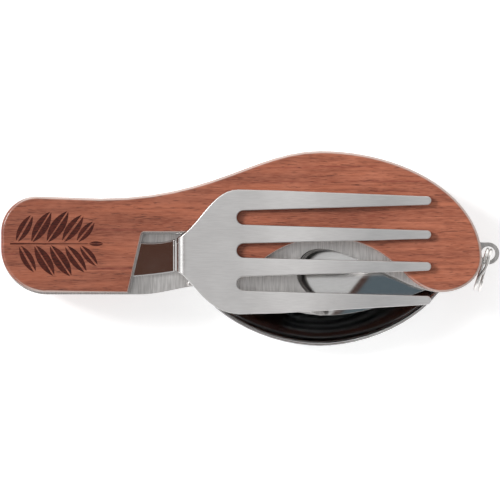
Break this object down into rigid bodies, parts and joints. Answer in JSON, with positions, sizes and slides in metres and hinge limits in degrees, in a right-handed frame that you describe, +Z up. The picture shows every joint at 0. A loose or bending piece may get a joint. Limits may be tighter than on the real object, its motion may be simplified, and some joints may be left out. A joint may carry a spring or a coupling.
{
  "type": "folding camping cutlery set",
  "caption": "Folding camping cutlery with wooden scales: fork, knife and spoon in a steel handle, with a split ring.",
  "frame": {"origin": "under the middle of the object's bounding box, on the level of the spoon bowl's lowest point", "axes": "+X along the handle towards the split ring, +Z up through the stack towards the fork"},
  "size_m": [0.1138, 0.0448, 0.0268],
  "materials": {
    "scale_wood": "oiled, satin",
    "satin_steel": "brushed",
    "fork_steel": "fine satin",
    "polished_steel": "polished",
    "ring_wire": "bright nickel"
  },
  "bodies": {
    "spoon_half": {"back_scale": "scale_wood", "spoon_outer_liner": "satin_steel", "spoon_backspring": "satin_steel", "middle_liner": "satin_steel", "knife_backspring": "satin_steel", "knife_outer_liner": "satin_steel", "back_pivot_rivet": "satin_steel", "back_rivet_left": "satin_steel", "back_rivet_right": "satin_steel", "docking_stud_left": "satin_steel", "docking_stud_right": "satin_steel"},
    "fork_half": {"front_inner_liner": "satin_steel", "fork_backspring": "satin_steel", "front_outer_liner": "satin_steel", "front_scale": "scale_wood", "fork_pivot_rivet": "satin_steel", "front_rivet_left": "satin_steel", "front_rivet_right": "satin_steel"},
    "fork_tool": {"fork": "fork_steel"},
    "knife_tool": {"knife": "polished_steel"},
    "spoon_tool": {"spoon": "polished_steel"},
    "ring": {"split_ring": "ring_wire"}
  },
  "joints": [
    {"name": "dock_slide", "type": "slide", "parent": "spoon_half", "child": "fork_half", "axis": [-1, 0, 0], "range_m": [0, 0.0065]},
    {"name": "fork_fold", "type": "hinge", "parent": "fork_half", "child": "fork_tool", "pos_m": [-0.04573, 0.00085, 0.0193], "axis": [0, 0, -1], "range_deg": [0, 180]},
    {"name": "knife_fold", "type": "hinge", "parent": "spoon_half", "child": "knife_tool", "pos_m": [-0.04573, 0.00085, 0.0158], "axis": [0, 0, -1], "range_deg": [0, 180]},
    {"name": "spoon_fold", "type": "hinge", "parent": "spoon_half", "child": "spoon_tool", "pos_m": [-0.04573, 0.00085, 0.0128], "axis": [0, 0, -1], "range_deg": [0, 180]},
    {"name": "ring_swing", "type": "hinge", "parent": "spoon_half", "child": "ring", "pos_m": [0.05437, -0.00095, 0.0143], "axis": [0, 0, 1], "range_deg": [0, 205]}
  ]
}
